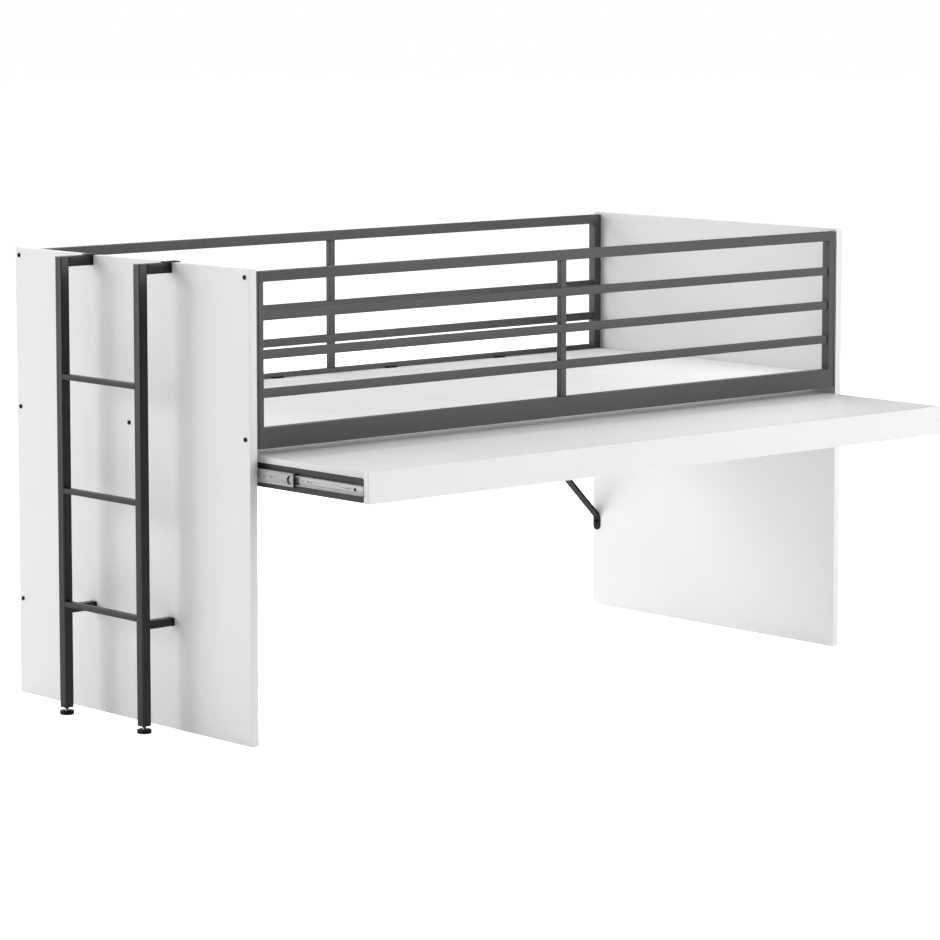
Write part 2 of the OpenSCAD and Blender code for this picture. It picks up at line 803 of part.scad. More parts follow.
// opens towards the panel, its web on the desk's side rail
module slide_inner() {
    difference() {
        translate([desk_x0, 0, 0]) mirror([1, 0, 0])
            channel_y(0, apron_back, slide_z, slide_l, inner_h, desk_x0 - inner_tip_x, slide_wall);
        for (y = slide_screws)
            rod_x([desk_x0 - slide_wall - over, apron_back + y, slide_z], slide_wall + 2 * over,
                  screw_dia + 2 * seat_gap);
        for (y = [52, 62, 190, 200, 220])
            rod_x([desk_x0 - slide_wall - over, apron_back + y, slide_z], slide_wall + 2 * over, 4);
    }
}

// sheet cage with a row of balls above and below
module ball_cage(x, ymid, l, zball, dia, xball) {
    flange_t = 0.8;
    translate([0, ymid - l / 2, 0]) {
        channel_y(x, 0, slide_z, l, 2 * zball + flange_t, xball + dia / 2 - x, cage_wall);
        for (s = [-1, 1], i = [0 : ball_count - 1])
            translate([xball, (i + 0.5) * l / ball_count, slide_z + s * zball]) sphere(d = dia);
    }
}

module outer_ball_cage() {
    ball_cage(panel_t + slide_wall + run_gap, outer_cage_mid, outer_cage_l,
              outer_ball_z, outer_ball_dia, (middle_x + member_x1) / 2);
}

module inner_ball_cage() {
    ball_cage(middle_x + slide_wall + run_gap, inner_cage_mid, inner_cage_l,
              inner_ball_z, inner_ball_dia, (inner_tip_x + member_x1) / 2);
}

// plastic buffer on the middle member's front end, and a crescent latch flat on its web
module slide_bumper() {
    latch_r = 10.5;
    latch_w = 7.5;
    latch_t = 0.8;
    latch_y = middle_metal_y0 + 12;
    channel_y(middle_x, middle_y0, slide_z, bumper_l, middle_h, member_x1 - middle_x, slide_wall);
    difference() {
        rod_x([middle_x - latch_t, latch_y, slide_z], latch_t, 2 * latch_r);
        rod_x([middle_x - latch_t - over, latch_y - latch_w, slide_z], latch_t + 2 * over, 2 * latch_r);
    }
}

module slide_screw_panel() {
    for (y = slide_screws) {
        rod_x([panel_t - screw_in_panel + 1, slide_y0 + y, slide_z],
              screw_in_panel - 1 + slide_wall, screw_dia);
        rod_x([panel_t, slide_y0 + y, slide_z], slide_wall, screw_head_dia);
    }
}

module slide_screw_desk() {
    for (y = slide_screws) {
        rod_x([desk_x0 - slide_wall, apron_back + y, slide_z], slide_wall + side_t + 3, screw_dia);
        rod_x([desk_x0 - slide_wall - 1.5, apron_back + y, slide_z], 1.5, screw_head_dia);
    }
}

module left_slide_outer() { color(ZINC) place() slide_outer(); }
module right_slide_outer() { color(ZINC) place() right_end() slide_outer(); }
module left_slide_middle() { color(ZINC) place() slide_middle(); }
module right_slide_middle() { color(ZINC) place() right_end() slide_middle(); }
module left_slide_inner() { color(ZINC) place() slide_inner(); }
module right_slide_inner() { color(ZINC) place() right_end() slide_inner(); }
module left_outer_ball_cage() { color(ZINC) place() outer_ball_cage(); }
module right_outer_ball_cage() { color(ZINC) place() right_end() outer_ball_cage(); }
module left_inner_ball_cage() { color(ZINC) place() inner_ball_cage(); }
module right_inner_ball_cage() { color(ZINC) place() right_end() inner_ball_cage(); }
module left_slide_bumper() { color(BLACK) place() slide_bumper(); }
module right_slide_bumper() { color(BLACK) place() right_end() slide_bumper(); }
module slide_panel_screws() { color(ZINC) place() both_ends() slide_screw_panel(); }
module slide_desk_screws() { color(BLACK) place() both_ends() slide_screw_desk(); }

// ---- the model ----

left_panel();
right_panel();
front_guard_top_rail();
front_guard_bars();
front_guard_end_posts();
front_side_rail();
rear_guard_top_rail();
rear_guard_bars();
guard_mid_posts();
rear_guard_end_posts();
rear_side_rail();
board_ledges();
guard_end_bars();
rail_end_plugs();
centre_beam();
platform_board(1);  // platform_board_1
platform_board(2);  // platform_board_2
platform_board(3);  // platform_board_3
platform_board(4);  // platform_board_4
platform_board(5);  // platform_board_5
board_clips();
left_brace();
right_brace();
brace_rail_screws();
left_panel_bolts();
right_panel_bolts();
hex_nuts();
ladder_left_stile();
ladder_right_stile();
ladder_rungs();
ladder_top_arms();
ladder_stand_offs();
ladder_hook_straps();
ladder_end_caps();
ladder_foot_inserts();
ladder_left_foot();
ladder_right_foot();
left_foot_stem();
right_foot_stem();
desktop();
desk_apron();
desk_left_rail();
desk_right_rail();
desk_rear_beam();
desk_screws();
left_slide_outer();
right_slide_outer();
left_slide_middle();
right_slide_middle();
left_slide_inner();
right_slide_inner();
left_outer_ball_cage();
right_outer_ball_cage();
left_inner_ball_cage();
right_inner_ball_cage();
left_slide_bumper();
right_slide_bumper();
slide_panel_screws();
slide_desk_screws();
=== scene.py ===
# %% [markdown]
# # A cabin bed with a pull-out desk
# The bed stands on two white end panels. Two guard frames of graphite steel tube hold the
# boarded platform between them, a ladder hooks over one end, and a desk runs out from under
# the platform on ball-bearing slides. The sizes come from a finished technical model, so this
# lesson never measures by eye. It loads that model, gives each piece its edges, small parts
# and finish, and sets up a plain studio round it.

# %% Load the technical model
import bpy
import bmesh
import json
import math
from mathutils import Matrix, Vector


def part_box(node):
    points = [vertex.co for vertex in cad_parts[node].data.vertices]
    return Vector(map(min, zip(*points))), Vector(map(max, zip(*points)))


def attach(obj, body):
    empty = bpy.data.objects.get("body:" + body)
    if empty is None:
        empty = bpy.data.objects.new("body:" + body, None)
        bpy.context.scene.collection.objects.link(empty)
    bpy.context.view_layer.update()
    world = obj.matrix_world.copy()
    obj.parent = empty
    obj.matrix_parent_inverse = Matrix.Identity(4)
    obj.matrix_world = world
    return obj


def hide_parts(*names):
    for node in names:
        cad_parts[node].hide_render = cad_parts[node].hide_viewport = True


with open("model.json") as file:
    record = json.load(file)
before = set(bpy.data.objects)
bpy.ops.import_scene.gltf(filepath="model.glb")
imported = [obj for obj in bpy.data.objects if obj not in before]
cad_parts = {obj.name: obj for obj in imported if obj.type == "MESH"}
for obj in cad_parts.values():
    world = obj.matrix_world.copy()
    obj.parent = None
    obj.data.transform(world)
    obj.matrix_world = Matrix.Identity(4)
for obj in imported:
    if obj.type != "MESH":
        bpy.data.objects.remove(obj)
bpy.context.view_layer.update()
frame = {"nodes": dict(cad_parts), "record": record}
MM = 0.001                      # a millimetre in metres
print("nodes", len(frame["nodes"]))

# %% [markdown]
# ## The camera
# The bed was pictured from the front left with a long lens, about ten metres away. There the
# panels' edges stay almost upright, because the camera hardly tilts. Instead the picture is
# shifted down in the camera by a tenth of its width, and only a slight tilt is left.

# %% Set up the camera
LENS, SENSOR = 147.988, 36      # focal length and width of the sensor, mm
SHIFT = -0.1                    # of the sensor's width
scene = bpy.context.scene
camera_data = bpy.data.cameras.new("studio_camera")
camera = bpy.data.objects.new("studio_camera", camera_data)
scene.collection.objects.link(camera)
camera_data.sensor_width = SENSOR
camera_data.lens = LENS
camera_data.shift_y = SHIFT
camera.location = (-6.64565, -7.3991, 1.8881)
turn, tilt = math.radians(41.8104), math.radians(6.2441)
camera.rotation_euler = (math.pi / 2 - tilt, 0, -turn)
camera_data.clip_end = 60
scene.camera = camera
print("camera", round(LENS, 1), "mm lens, tilted down", round(math.degrees(tilt), 2), "degrees")

# %% [markdown]
# ## Finishes: a helper
# Each finish is a Principled shader with its own small texture. Real white board isn't one
# even white, and powder coat isn't smooth, so every finish gets a slow drift of tone, a fine
# grain for its bump and a little change in gloss. The textures read Object coordinates, in
# metres, so a scale of 1500 means a grain of under a millimetre.

# %% A helper that builds a finish
SLOW = 3.0                      # scale of the drift of tone
GLOSS_SWING = 0.05              # how far the roughness swings to each side
GRAIN_DEPTH = 0.08 * MM         # depth of the grain that the bump shows


def wire(tree, *links):
    """Links nodes; each link is (from node, its output, to node, its input)."""
    for giver, output, taker, entry in links:
        tree.links.new(giver.outputs[output], taker.inputs[entry])


def finish(name, tone, rough, grain, bump, drift, metallic=0.0, shine=0.5, stretch=(1, 1, 1)):
    """A finish: base tone, roughness, scale and strength of its grain, and drift of tone."""
    mat = bpy.data.materials.new(name)
    mat.use_nodes = True
    tree = mat.node_tree
    shader = tree.nodes["Principled BSDF"]
    shader.inputs["Metallic"].default_value = metallic
    shader.inputs["Specular IOR Level"].default_value = shine
    place = tree.nodes.new("ShaderNodeTexCoord")
    stretched = tree.nodes.new("ShaderNodeMapping")
    stretched.inputs["Scale"].default_value = stretch
    wire(tree, (place, "Object", stretched, "Vector"))

    def noise(scale, detail):
        texture = tree.nodes.new("ShaderNodeTexNoise")
        texture.inputs["Scale"].default_value = scale
        texture.inputs["Detail"].default_value = detail
        wire(tree, (stretched, "Vector", texture, "Vector"))
        return texture

    slow, fine = noise(SLOW, 2.0), noise(grain, 3.0)
    colours = tree.nodes.new("ShaderNodeValToRGB")
    for stop, position, sign in zip(colours.color_ramp.elements, (0.3, 0.7), (-1, 1)):
        stop.position = position
        stop.color = (*[c * (1 + sign * drift) for c in tone], 1)
    gloss = tree.nodes.new("ShaderNodeMapRange")
    gloss.inputs["To Min"].default_value = rough - GLOSS_SWING
    gloss.inputs["To Max"].default_value = rough + GLOSS_SWING
    relief = tree.nodes.new("ShaderNodeBump")
    relief.inputs["Strength"].default_value = bump
    relief.inputs["Distance"].default_value = GRAIN_DEPTH
    wire(tree, (slow, "Fac", colours, "Fac"), (colours, "Color", shader, "Base Color"),
         (fine, "Fac", gloss, "Value"), (gloss, "Result", shader, "Roughness"),
         (fine, "Fac", relief, "Height"), (relief, "Normal", shader, "Normal"))
    return mat


def band_edges(mat, tone):
    """Mixes another tone in where a face carries the attribute edge_band."""
    tree = mat.node_tree
    shader = tree.nodes["Principled BSDF"]
    face_tone = shader.inputs["Base Color"].links[0].from_socket
    mark = tree.nodes.new("ShaderNodeAttribute")
    mark.attribute_name = "edge_band"
    mix = tree.nodes.new("ShaderNodeMix")
    mix.data_type = "RGBA"
    mix.inputs["B"].default_value = (*tone, 1)
    tree.links.new(face_tone, mix.inputs["A"])
    wire(tree, (mark, "Fac", mix, "Factor"), (mix, "Result", shader, "Base Color"))


print("drift", SLOW, "waves a metre, grain", GRAIN_DEPTH / MM, "mm deep")

# %% [markdown]
# ## The finishes of this bed
# - **Melamine board** is chipboard with a white, slightly pearled face. Its edges are closed
#   with a glued-on plastic band that is a shade darker, which shows as a fine line. The
#   platform's boards, which a mattress hides, get a little greyer white, which is painted
#   shade: the lamps light them more than the desk beneath, and the greyer tone stands in for it.
# - **Powder coat** on the guards is graphite grey with a fine sandy texture. The desk's steel
#   is a darker grey, and the ladder's is nearly black.
# - **Zinc plating** on the slides is bright and shows the rolling direction of the strip, so
#   its grain is stretched along the slide. The inner members' zinc is painted lighter, as a
#   painted highlight for the extra light that they catch further forward.
# - **Moulded plastic** is deep black with a fine spark-eroded grain.

# %% Make the finishes
WHITE_BOARD = finish("white_melamine", (0.80, 0.80, 0.79), 0.42,
                     grain=900, bump=0.12, drift=0.008)
# painted shade: the platform's boards are the same white board, greyed to stand in for shade that
# the lamps don't give them
PLATFORM_BOARD_PAINTED_SHADE = finish("white_platform_board", (0.765, 0.765, 0.757), 0.5,
                        grain=900, bump=0.15, drift=0.008)
for board_finish in (WHITE_BOARD, PLATFORM_BOARD_PAINTED_SHADE):
    band_edges(board_finish, (0.77, 0.773, 0.77))
GRAPHITE = finish("graphite_powder_coat", (0.084, 0.084, 0.082), 0.52,
                  grain=1400, bump=0.35, drift=0.05, shine=0.3)
LADDER_BLACK = finish("black_powder_coat", (0.0135, 0.0135, 0.0133), 0.40,
                      grain=1400, bump=0.30, drift=0.05, shine=0.34)
BOLT_BLACK = finish("black_oxide_steel", (0.014, 0.014, 0.0145), 0.50,
                    grain=2200, bump=0.2, drift=0.1, shine=0.15)
DESK_GRAPHITE = finish("graphite_desk_coat", (0.040, 0.040, 0.039), 0.52,
                       grain=1400, bump=0.35, drift=0.05, shine=0.25)
ROLLED = (1, 0.03, 1)           # draws the grain out along the slides
ZINC = finish("zinc_plated_strip", (0.35, 0.353, 0.357), 0.5,
              grain=700, bump=0.15, drift=0.06, metallic=0.35, stretch=ROLLED)
# painted highlight: the inner members are the same zinc, made lighter for the extra light they
# catch further forward
INNER_ZINC_PAINTED_LIGHT = finish("zinc_strip_inner_painted_light", (0.48, 0.483, 0.487), 0.5,
                    grain=700, bump=0.15, drift=0.06, metallic=0.35, stretch=ROLLED)
BRIGHT_ZINC = finish("zinc_plated_thread", (0.72, 0.73, 0.75), 0.28,
                     grain=1800, bump=0.1, drift=0.05, metallic=0.9)
BLACK_PLASTIC = finish("black_moulded_plastic", (0.006, 0.006, 0.006), 0.5,
                       grain=2600, bump=0.3, drift=0.1, shine=0.2)
FINISH_OF_SLOT = {"white_board": WHITE_BOARD, "graphite_steel": GRAPHITE,
                  "black_steel": BOLT_BLACK, "zinc_steel": ZINC, "black_plastic": BLACK_PLASTIC}
print("finishes", sorted(mat.name for mat in set(FINISH_OF_SLOT.values())))

# %% [markdown]
# ## Which body and slot a node belongs to
# The model's record lists, for every node, the rigid body that it moves with and the finish
# slot that it takes. Two small look-ups save writing that down again for every piece. A few
# pieces have their own tone of their slot's finish, and one function settles that for all. Two
# of these tones are painted light and shade: a lighter zinc on the inner slide members and a
# greyer white on the platform's boards.

# %% Look up bodies and slots
record = frame["record"]
BODY_OF = {node: body for body, nodes in record["behaviour"]["bodies"].items() for node in nodes}
SLOT_OF = {part["node"]: part["material_slot"] for part in record["subparts"]}


def finish_of(node):
    """The finish of a node: its slot's, but a few pieces have their own tone of it, two of them
    painted light and shade.
    """
    body, slot = BODY_OF[node], SLOT_OF[node]
    # painted shade on the platform's boards
    if node.startswith("platform_board"):
        return PLATFORM_BOARD_PAINTED_SHADE
    # painted highlight on the inner slide members
    if node.endswith("slide_inner"):
        return INNER_ZINC_PAINTED_LIGHT
    if body == "desk" and slot == "graphite_steel":
        return DESK_GRAPHITE
    if body == "ladder" and slot in ("graphite_steel", "black_steel"):
        return LADDER_BLACK
    return FINISH_OF_SLOT[slot]


for node, obj in frame["nodes"].items():
    if not obj.material_slots:
        obj.data.materials.append(None)
    for place in obj.material_slots:
        place.material = finish_of(node)

# %% [markdown]
# ## Eased edges
# No edge on a real board or steel tube is perfectly sharp, and the thin highlight along an
# eased edge is what tells the eye how big a thing is. A technical mesh has sharp edges, so
# each visible piece is copied, its loose triangles are joined up, and its sharp edges get a
# narrow bevel. The copy then stands in for the node and rides on the node's body.

# %% A helper that copies a node and eases its edges
SAME = 1e-6                     # points nearer than this are one, m
FLAT = math.radians(1)          # faces that meet at less than this are one flat face
ROUND = math.radians(30)        # faces that meet at less than this look like one round face


def joined_copy(node):
    """A bmesh copy of a node with its triangles joined into flat faces."""
    bm = bmesh.new()
    bm.from_mesh(frame["nodes"][node].data)
    bmesh.ops.remove_doubles(bm, verts=bm.verts, dist=SAME)
    bmesh.ops.dissolve_limit(bm, angle_limit=FLAT, verts=bm.verts, edges=bm.edges)
    return bm


def ease(bm, width, segments=2, sharp=35):
    """Bevels every edge that is sharper than the given angle, in degrees."""
    edges = [e for e in bm.edges if e.is_manifold and e.calc_face_angle(0) > math.radians(sharp)]
    bmesh.ops.bevel(bm, geom=edges, offset=width, offset_type="OFFSET", segments=segments,
                    profile=0.5, affect="EDGES", clamp_overlap=True)


def settle(bm, name, mat, body, stands_for=()):
    """Turns a bmesh into a finished piece: smooth where it is round, riding on its body."""
    mesh = bpy.data.meshes.new(name)
    bm.to_mesh(mesh)
    bm.free()
    mesh.materials.clear()
    mesh.materials.append(mat)
    for p in mesh.polygons:
        p.use_smooth = True
    mesh.set_sharp_from_angle(angle=ROUND)
    piece = bpy.data.objects.new(name, mesh)
    scene.collection.objects.link(piece)
    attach(piece, body)
    if stands_for:
        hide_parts(*stands_for)
    return piece


def eased(node, width, segments=2):
    """The node's own shape with eased edges, standing for the node."""
    bm = joined_copy(node)
    ease(bm, width, segments)
    return settle(bm, node + "_eased", finish_of(node), BODY_OF[node], (node,))


def faces(pieces):
    """How many faces some pieces have together."""
    return sum(len(piece.data.polygons) for piece in pieces)


sample = joined_copy("ladder_left_stile")
print("a stile has", len(sample.faces), "faces once its triangles are joined")
sample.free()

# %% [markdown]
# ## White boards
# A melamine board is sawn, its edges are banded, and the band's corners are trimmed to a
# small radius. So a ring as wide as the band's thickness is inset on both broad faces and
# marked, together with the narrow faces, as band. The finish reads that mark. Only then are
# the corners eased.

# %% Make the boards
BAND = 0.8 * MM                 # thickness of the edge band
BOARD_EASE = 0.6 * MM           # radius of the trimmed corners
BROAD = 0.02                    # a broad face has at least this area, square metres
BOARD_AXES = {"left_panel": 0, "right_panel": 0, "desktop": 2, "desk_apron": 1}
BOARD_AXES.update({f"platform_board_{i}": 2 for i in range(1, 6)})


def banded_board(node, thin_axis):
    """A board whose narrow faces, and a ring round its broad ones, carry edge_band."""
    bm = joined_copy(node)
    mark = bm.faces.layers.float.new("edge_band")
    broad = [f for f in bm.faces if abs(f.normal[thin_axis]) > 0.9 and f.calc_area() > BROAD]
    for f in bm.faces:
        f[mark] = 0.0 if f in broad else 1.0
    ring = bmesh.ops.inset_region(bm, faces=broad, thickness=BAND, use_even_offset=True)["faces"]
    for f in ring:
        f[mark] = 1.0
    ease(bm, BOARD_EASE, sharp=60)
    return settle(bm, node + "_banded", finish_of(node), BODY_OF[node], (node,))


boards = [banded_board(node, thin_axis) for node, thin_axis in BOARD_AXES.items()]
print("boards", len(boards), "with", faces(boards), "faces")

# %% [markdown]
# ## Steel and caps that keep their shape
# Rails, posts, ledges, beam, braces and the desk's steel rails keep the model's own shape.
# They are pressed or cut from tube, so their edges are only a little eased. The ladder's caps
# are moulded and have softer corners. The slides' bumpers and the feet's inserts are so thin
# that they only take a fine edge.

# %% Ease the steel pieces
TUBES = ["front_guard_top_rail", "front_guard_end_posts", "front_side_rail",
         "rear_guard_top_rail", "rear_guard_end_posts", "rear_side_rail", "guard_mid_posts",
         "board_ledges", "guard_end_bars", "centre_beam", "left_brace", "right_brace",
         "desk_left_rail", "desk_right_rail", "desk_rear_beam", "ladder_left_stile",
         "ladder_right_stile", "ladder_top_arms", "ladder_stand_offs", "ladder_hook_straps"]
THIN = ["left_slide_bumper", "right_slide_bumper", "ladder_foot_inserts"]
MOULDED = ["ladder_end_caps"]
TUBE_EASE, THIN_EASE, MOULDED_EASE = 0.35 * MM, 0.2 * MM, 1.2 * MM
steel = [eased(node, TUBE_EASE) for node in TUBES]
steel += [eased(node, THIN_EASE) for node in THIN]
steel += [eased(node, MOULDED_EASE, segments=3) for node in MOULDED]
print("steel and caps", len(steel), "pieces,", faces(steel), "faces")

# %% [markdown]
# ## Slide members
# A slide's members are rolled from zinc-plated strip. The rolls leave a shallow line along each
# side of the web, where the ball track begins, and light catches on it. So the web is cut
# across at three heights, a hair apart, and the middle cut is pushed in, which makes a V.

# %% Make the slide members
SLIDE_WALL = 1.2                # thickness of a member's strip, mm
MEMBER_EASE = 0.25 * MM
LINE_WIDTH, LINE_DEPTH = 1.4 * MM, 0.5 * MM
LINE_IN = {"outer": 8, "middle": 5, "inner": 4}    # from a member's long edge, mm
ON_LINE = 0.01 * MM             # how near a point on the groove's line lies to it


def groove(bm, face_x, inward, z):
    """A V groove along Y, at height z, in the flat face that stands at face_x."""
    for dz in (-LINE_WIDTH / 2, 0, LINE_WIDTH / 2):
        everything = bm.verts[:] + bm.edges[:] + bm.faces[:]
        bmesh.ops.bisect_plane(bm, geom=everything, dist=SAME, plane_co=(face_x, 0, z + dz),
                               plane_no=(0, 0, 1))
    for v in bm.verts:
        if abs(v.co.x - face_x) < ON_LINE and abs(v.co.z - z) < ON_LINE:
            v.co.x += inward * LINE_DEPTH


def slide_member(side, kind):
    """A slide member with eased edges and a rolled line along both sides of its web."""
    node = f"{side}_slide_{kind}"
    bm = joined_copy(node)
    ease(bm, MEMBER_EASE)
    low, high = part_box(node)
    face_x, inward = (low.x, 1) if side == "left" else (high.x, -1)
    if kind == "inner":
        wall = SLIDE_WALL * MM
        face_x, inward = (high.x - wall, 1) if side == "left" else (low.x + wall, -1)
    for z in (low.z + LINE_IN[kind] * MM, high.z - LINE_IN[kind] * MM):
        groove(bm, face_x, inward, z)
    return settle(bm, node + "_rolled", finish_of(node), BODY_OF[node], (node,))


members = [slide_member(side, kind) for side in ("left", "right") for kind in LINE_IN]
print("slide members", len(members), "with", faces(members), "faces")

# %% [markdown]
# ## Things that repeat: running a node tree
# Guard bars, rungs, bolts, screws, nuts and clips are the same thing many times over. A
# Geometry Nodes tree makes one and copies it. The tree needs an object to run on, so a host
# mesh of points carries it as a modifier. What comes out is taken as a plain mesh, and the
# host is thrown away.

# %% A helper for node trees
def new_tree(name, sockets):
    """An empty geometry tree with its inputs, as (name, kind, default)."""
    tree = bpy.data.node_groups.new(name, "GeometryNodeTree")
    for way in ("INPUT", "OUTPUT"):
        tree.interface.new_socket("Geometry", in_out=way, socket_type="NodeSocketGeometry")
    for label, kind, default in sockets:
        entry = tree.interface.new_socket(label, in_out="INPUT", socket_type="NodeSocket" + kind)
        if default is not None:
            entry.default_value = default
    return tree, tree.nodes.new("NodeGroupInput"), tree.nodes.new("NodeGroupOutput")


def run_tree(tree, name, values, points=None):
    """Runs a tree on a mesh of points and returns what it made as a plain mesh."""
    host_mesh = points or bpy.data.meshes.new(name + "_points")
    host = bpy.data.objects.new(name + "_host", host_mesh)
    scene.collection.objects.link(host)
    mod = host.modifiers.new("tree", "NODES")
    mod.node_group = tree
    for item in tree.interface.items_tree:
        if item.item_type == "SOCKET" and item.in_out == "INPUT" and item.name in values:
            mod[item.identifier] = values[item.name]
    bpy.context.view_layer.update()
    graph = bpy.context.evaluated_depsgraph_get()
    mesh = bpy.data.meshes.new_from_object(host.evaluated_get(graph), depsgraph=graph)
    host.modifiers.clear()
    bpy.data.objects.remove(host)
    mesh.name = name
    return mesh


def place_mesh(mesh, name, mat, body, stands_for):
    """A finished piece from a mesh that a tree made."""
    bm = bmesh.new()
    bm.from_mesh(mesh)
    bpy.data.meshes.remove(mesh)
    return settle(bm, name, mat, body, stands_for)


print("node groups before the first tree", len(bpy.data.node_groups))

# %% [markdown]
# ## The tree for bars
# A bar of a guard is a rounded rectangle swept along a straight line, and its neighbours stand
# an even step apart. The tree sweeps one bar and repeats it on a line of points. It ends in
# Realize Instances and Set Material, because only real geometry survives an export.

# %% The tree for bars at an even step
bar_tree, start, end = new_tree("bars_at_an_even_step", [
    ("Count", "Int", 3), ("First", "Vector", None), ("Step", "Vector", None),
    ("Along", "Vector", None), ("Width", "Float", 0.02), ("Height", "Float", 0.02),
    ("Corner", "Float", 0.002), ("Finish", "Material", None)])
spine, section, fillet, sweep, spots, copy, real, coat = [
    bar_tree.nodes.new("GeometryNode" + kind) for kind in (
        "CurvePrimitiveLine", "CurvePrimitiveQuadrilateral", "FilletCurve", "CurveToMesh",
        "MeshLine", "InstanceOnPoints", "RealizeInstances", "SetMaterial")]
fillet.mode = "POLY"
fillet.inputs["Count"].default_value = 4       # points in each rounded corner
sweep.inputs["Fill Caps"].default_value = True
wire(bar_tree,
     (start, "Along", spine, "End"),
     (start, "Width", section, "Width"),
     (start, "Height", section, "Height"),
     (section, "Curve", fillet, "Curve"),
     (start, "Corner", fillet, "Radius"),
     (spine, "Curve", sweep, "Curve"),
     (fillet, "Curve", sweep, "Profile Curve"),
     (start, "Count", spots, "Count"),
     (start, "First", spots, "Start Location"),
     (start, "Step", spots, "Offset"),
     (spots, "Mesh", copy, "Points"),
     (sweep, "Mesh", copy, "Instance"),
     (copy, "Instances", real, "Geometry"),
     (real, "Geometry", coat, "Geometry"),
     (start, "Finish", coat, "Material"),
     (coat, "Geometry", end, "Geometry"))
print("tree", bar_tree.name, len(bar_tree.nodes), "nodes")

# %% [markdown]
# ## The tree for fasteners
# Bolts, screws, nuts, balls and clips stand at uneven places and face different ways. So the
# second tree takes one modelled part and a cloud of points. It puts a copy on each point and
# turns it by the vector `turn` that the point carries.

# %% The tree for one part on many points
copy_tree, start, end = new_tree("one_part_on_points", [("Part", "Object", None),
                                                        ("Finish", "Material", None)])
part, turn_by, copy, real, coat = [
    copy_tree.nodes.new("GeometryNode" + kind) for kind in (
        "ObjectInfo", "InputNamedAttribute", "InstanceOnPoints", "RealizeInstances",
        "SetMaterial")]
turn_by.data_type = "FLOAT_VECTOR"
turn_by.inputs["Name"].default_value = "turn"
wire(copy_tree,
     (start, "Part", part, "Object"),
     (start, "Geometry", copy, "Points"),
     (part, "Geometry", copy, "Instance"),
     (turn_by, "Attribute", copy, "Rotation"),
     (copy, "Instances", real, "Geometry"),
     (real, "Geometry", coat, "Geometry"),
     (start, "Finish", coat, "Material"),
     (coat, "Geometry", end, "Geometry"))
print("tree", copy_tree.name, len(copy_tree.nodes), "nodes")

# %% [markdown]
# ## Guard bars and rungs
# The bars of a guard are three equal rounded tubes, and the ladder's rungs are three more
# across. Their ends and steps are read from the model's boxes, so they land exactly between
# the posts and the stiles.

# %% Make the bars and the rungs
BARS = 3                        # in a guard, and rungs in the ladder
BAR_HEIGHT, RUNG_HEIGHT = 21.5 * MM, 13 * MM
BAR_CORNER = 1.5 * MM           # radius of their long edges


def bars_from_node(node, axis, height):
    """Bars along an axis that fill the node's box, one over the other."""
    low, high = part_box(node)
    across = 1 if axis == 0 else 0
    along = Vector((0, 0, 0))
    along[axis] = high[axis] - low[axis]
    first = Vector((0, 0, low[2] + height / 2))
    first[axis] = low[axis]
    first[across] = (low[across] + high[across]) / 2
    step = (high[2] - low[2] - height) / (BARS - 1)
    # a curve's section lies with its X across a level line, so the width goes there
    mesh = run_tree(bar_tree, node + "_bars", {
        "Count": BARS, "First": first, "Step": (0, 0, step), "Along": along,
        "Width": high[across] - low[across], "Height": height, "Corner": BAR_CORNER,
        "Finish": finish_of(node)})
    piece = place_mesh(mesh, node + "_swept", finish_of(node), BODY_OF[node],
                       (node,))
    box = [Vector(c) for c in piece.bound_box]
    size = [max(c[i] for c in box) - min(c[i] for c in box) for i in range(3)]
    print(node, "size", [round(s / MM, 1) for s in size],
          "wanted", [round((b - a) / MM, 1) for a, b in zip(low, high)])


bars_from_node("front_guard_bars", 0, BAR_HEIGHT)
bars_from_node("rear_guard_bars", 0, BAR_HEIGHT)
bars_from_node("ladder_rungs", 1, RUNG_HEIGHT)

# %% [markdown]
# ## Rings for lofted parts
# Bolts, screws, nuts, balls and feet are all turned or stamped shapes. Each is a stack of rings
# with the same number of points, joined ring by ring. A ring can be a circle, a hexagon or a
# cross, so a hexagon socket or a cross recess is just the next ring inwards and down.

# %% Helpers for rings
def ring_of(radius_at, height, count=24):
    """Points round the Z axis at even angles, each as far out as radius_at says."""
    angles = [2 * math.pi * i / count for i in range(count)]
    return [(radius_at(a) * math.cos(a), radius_at(a) * math.sin(a), height) for a in angles]


def circle(radius, height, count=24):
    """A round ring."""
    return ring_of(lambda a: radius, height, count)


def hexagon(flat, height):
    """A hexagon with the given half width over its flats."""
    sixth = math.pi / 3
    return ring_of(lambda a: flat / math.cos((a + sixth / 2) % sixth - sixth / 2), height)


def cross(arm, waist, height):
    """A four-armed recess: wide along the arms, drawn in between them."""
    return ring_of(lambda a: waist + (arm - waist) * abs(math.cos(2 * a)) ** 3, height)


print("a ring has", len(circle(1, 0)), "points")

# %% [markdown]
# ## Lofting and copying
# The loft joins each ring to the next with four-sided faces and closes both ends. A nut has a
# bore, so its last ring joins its first and it needs no ends. The finished part then goes to
# the tree that copies it to its places.

# %% Helpers that loft and copy a part
def loft(name, rings, closed=False):
    """A part through rings in millimetres; closed joins the last ring to the first."""
    bm = bmesh.new()
    rows = [[bm.verts.new([c * MM for c in point]) for point in ring] for ring in rings]
    pairs = list(zip(rows, rows[1:])) + ([(rows[-1], rows[0])] if closed else [])
    for a, b in pairs:
        for i in range(len(a)):
            j = (i + 1) % len(a)
            bm.faces.new((a[i], a[j], b[j], b[i]))
    if not closed:
        bm.faces.new(list(reversed(rows[0])))
        bm.faces.new(rows[-1])
    return part_from(bm, name)


def part_from(bm, name):
    """A loose object from a bmesh whose faces all look outwards."""
    bmesh.ops.recalc_face_normals(bm, faces=bm.faces)
    mesh = bpy.data.meshes.new(name)
    bm.to_mesh(mesh)
    bm.free()
    return bpy.data.objects.new(name, mesh)


